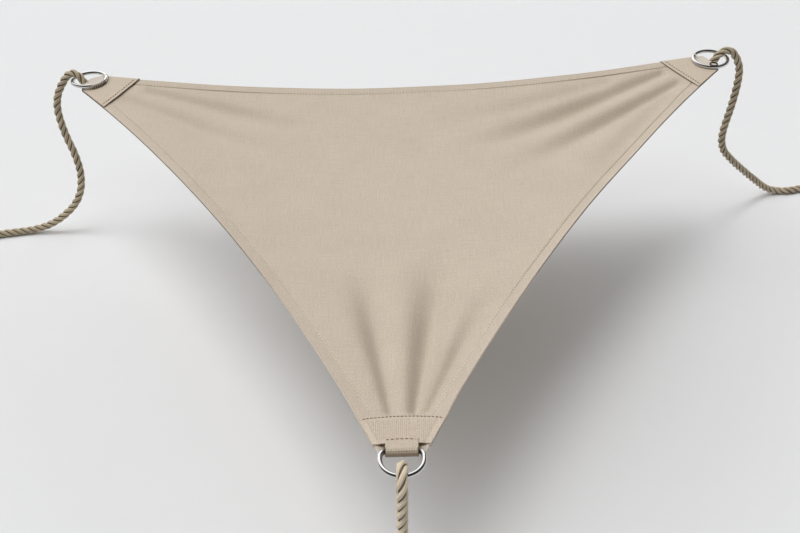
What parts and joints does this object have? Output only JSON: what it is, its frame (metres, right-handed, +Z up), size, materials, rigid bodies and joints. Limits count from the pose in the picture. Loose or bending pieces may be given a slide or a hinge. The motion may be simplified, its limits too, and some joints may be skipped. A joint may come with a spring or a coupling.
{
  "type": "shade sail",
  "caption": "Triangular canvas shade sail with hollow edges, sewn corner patches, steel rings at its corners and a short rope through each ring.",
  "frame": {"origin": "middle of the D-ring at the near corner", "axes": "+X to the right and +Y away, seen from the near corner, and +Z up"},
  "size_m": [1.473, 0.9729, 0.3195],
  "materials": {
    "canvas": "plain woven, matte",
    "patch_canvas": "plain woven, matte",
    "webbing": "woven, matte",
    "polished_steel": "polished",
    "rope_yarn": "laid yarn, matte",
    "twine": "wound twine, matte"
  },
  "bodies": {
    "root": {"sail_panel": "canvas", "patch_left": "patch_canvas", "patch_right": "patch_canvas", "patch_near": "patch_canvas", "webbing_tab": "webbing", "d_ring": "polished_steel", "ring_left": "polished_steel", "ring_right": "polished_steel", "rope_left": "rope_yarn", "rope_right": "rope_yarn", "rope_near": "rope_yarn", "seizing_near": "twine"}
  },
  "joints": []
}
